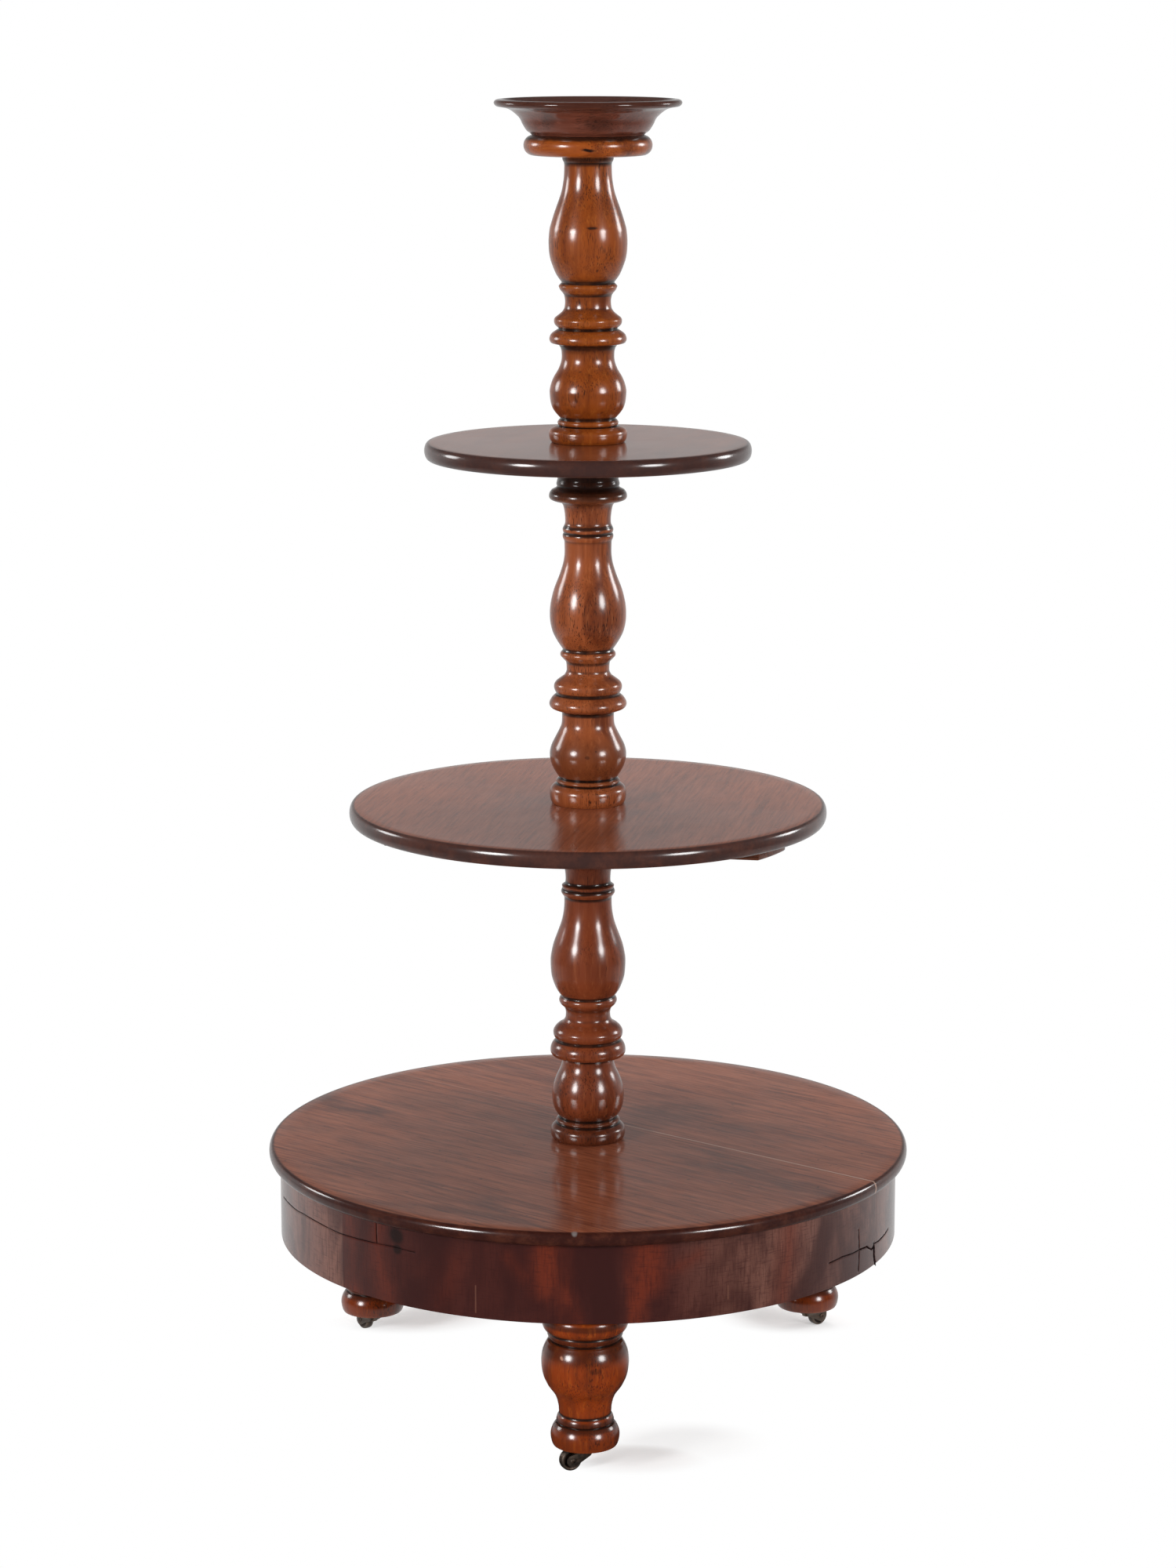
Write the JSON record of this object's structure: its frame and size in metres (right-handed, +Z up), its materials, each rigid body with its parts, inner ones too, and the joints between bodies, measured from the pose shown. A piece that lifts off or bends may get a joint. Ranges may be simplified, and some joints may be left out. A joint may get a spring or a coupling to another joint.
{
  "type": "dumbwaiter table",
  "caption": "Tall turned-column dumbwaiter: veneered drum base on caster legs, round shelves that shrink upwards, and a small rimmed dish on top.",
  "frame": {"origin": "on the floor, under the middle of the round base, on the axis of the columns", "axes": "+Z up along the columns, -Y towards the front, where one of the three legs stands, +X to the right seen from the front"},
  "size_m": [0.762, 0.762, 1.525],
  "materials": {
    "column_mahogany": "French-polished, worn, warm orange-brown",
    "board_mahogany": "French-polished, red-brown with a greyish bloom",
    "dish_mahogany": "French-polished, dark red-brown",
    "flame_veneer": "French-polished flame-figured veneer",
    "leg_mahogany": "French-polished, red-brown",
    "softwood": "sawn, unfinished, darkened with age",
    "caster_metal": "oxidised almost black, bright on worn edges",
    "screw_steel": "dulled"
  },
  "bodies": {
    "table": {"dish_collar": "column_mahogany", "upper_column": "column_mahogany", "middle_column": "column_mahogany", "lower_column": "column_mahogany", "upper_shelf": "board_mahogany", "middle_shelf": "board_mahogany", "front_batten": "board_mahogany", "rear_batten": "board_mahogany", "base_top_front_board": "board_mahogany", "base_top_rear_board": "board_mahogany", "dish": "dish_mahogany", "frieze_veneer_1": "flame_veneer", "frieze_veneer_2": "flame_veneer", "frieze_veneer_3": "flame_veneer", "hoop_upper_segment_1": "softwood", "hoop_upper_segment_2": "softwood", "hoop_upper_segment_3": "softwood", "hoop_upper_segment_4": "softwood", "hoop_upper_segment_5": "softwood", "hoop_lower_segment_1": "softwood", "hoop_lower_segment_2": "softwood", "hoop_lower_segment_3": "softwood", "hoop_lower_segment_4": "softwood", "hoop_lower_segment_5": "softwood", "base_bearer": "softwood", "front_leg_block": "softwood", "right_leg_block": "softwood", "left_leg_block": "softwood", "front_leg": "leg_mahogany", "front_caster_plate": "caster_metal", "front_caster_pin": "caster_metal", "right_leg": "leg_mahogany", "right_caster_plate": "caster_metal", "right_caster_pin": "caster_metal", "left_leg": "leg_mahogany", "left_caster_plate": "caster_metal", "left_caster_pin": "caster_metal", "front_batten_screw_1": "screw_steel", "front_batten_screw_2": "screw_steel", "rear_batten_screw_1": "screw_steel", "rear_batten_screw_2": "screw_steel", "front_plate_screw_1": "screw_steel", "front_plate_screw_2": "screw_steel", "front_plate_screw_3": "screw_steel", "right_plate_screw_1": "screw_steel", "right_plate_screw_2": "screw_steel", "right_plate_screw_3": "screw_steel", "left_plate_screw_1": "screw_steel", "left_plate_screw_2": "screw_steel", "left_plate_screw_3": "screw_steel"},
    "front_swivel": {"front_caster_horn": "caster_metal", "front_caster_axle": "caster_metal"},
    "front_wheel_body": {"front_caster_wheel": "caster_metal"},
    "right_swivel": {"right_caster_horn": "caster_metal", "right_caster_axle": "caster_metal"},
    "right_wheel_body": {"right_caster_wheel": "caster_metal"},
    "left_swivel": {"left_caster_horn": "caster_metal", "left_caster_axle": "caster_metal"},
    "left_wheel_body": {"left_caster_wheel": "caster_metal"}
  },
  "joints": [
    {"name": "front_caster_swivel", "type": "hinge", "parent": "table", "child": "front_swivel", "pos_m": [-0.0033, -0.31498, 0.0205], "axis": [0, 0, 1], "continuous": true},
    {"name": "front_wheel_roll", "type": "hinge", "parent": "front_swivel", "child": "front_wheel_body", "pos_m": [-0.02007, -0.3228, 0.01275], "axis": [0.4226, -0.9063, 0], "continuous": true},
    {"name": "right_caster_swivel", "type": "hinge", "parent": "table", "child": "right_swivel", "pos_m": [0.27392, 0.17116, 0.0205], "axis": [0, 0, 1], "continuous": true},
    {"name": "right_wheel_roll", "type": "hinge", "parent": "right_swivel", "child": "right_wheel_body", "pos_m": [0.28809, 0.18306, 0.01275], "axis": [-0.6428, 0.766, 0], "continuous": true},
    {"name": "left_caster_swivel", "type": "hinge", "parent": "table", "child": "left_swivel", "pos_m": [-0.26841, 0.1531, 0.0205], "axis": [0, 0, 1], "continuous": true},
    {"name": "left_wheel_roll", "type": "hinge", "parent": "left_swivel", "child": "left_wheel_body", "pos_m": [-0.27902, 0.16825, 0.01275], "axis": [-0.8192, -0.5736, 0], "continuous": true}
  ]
}
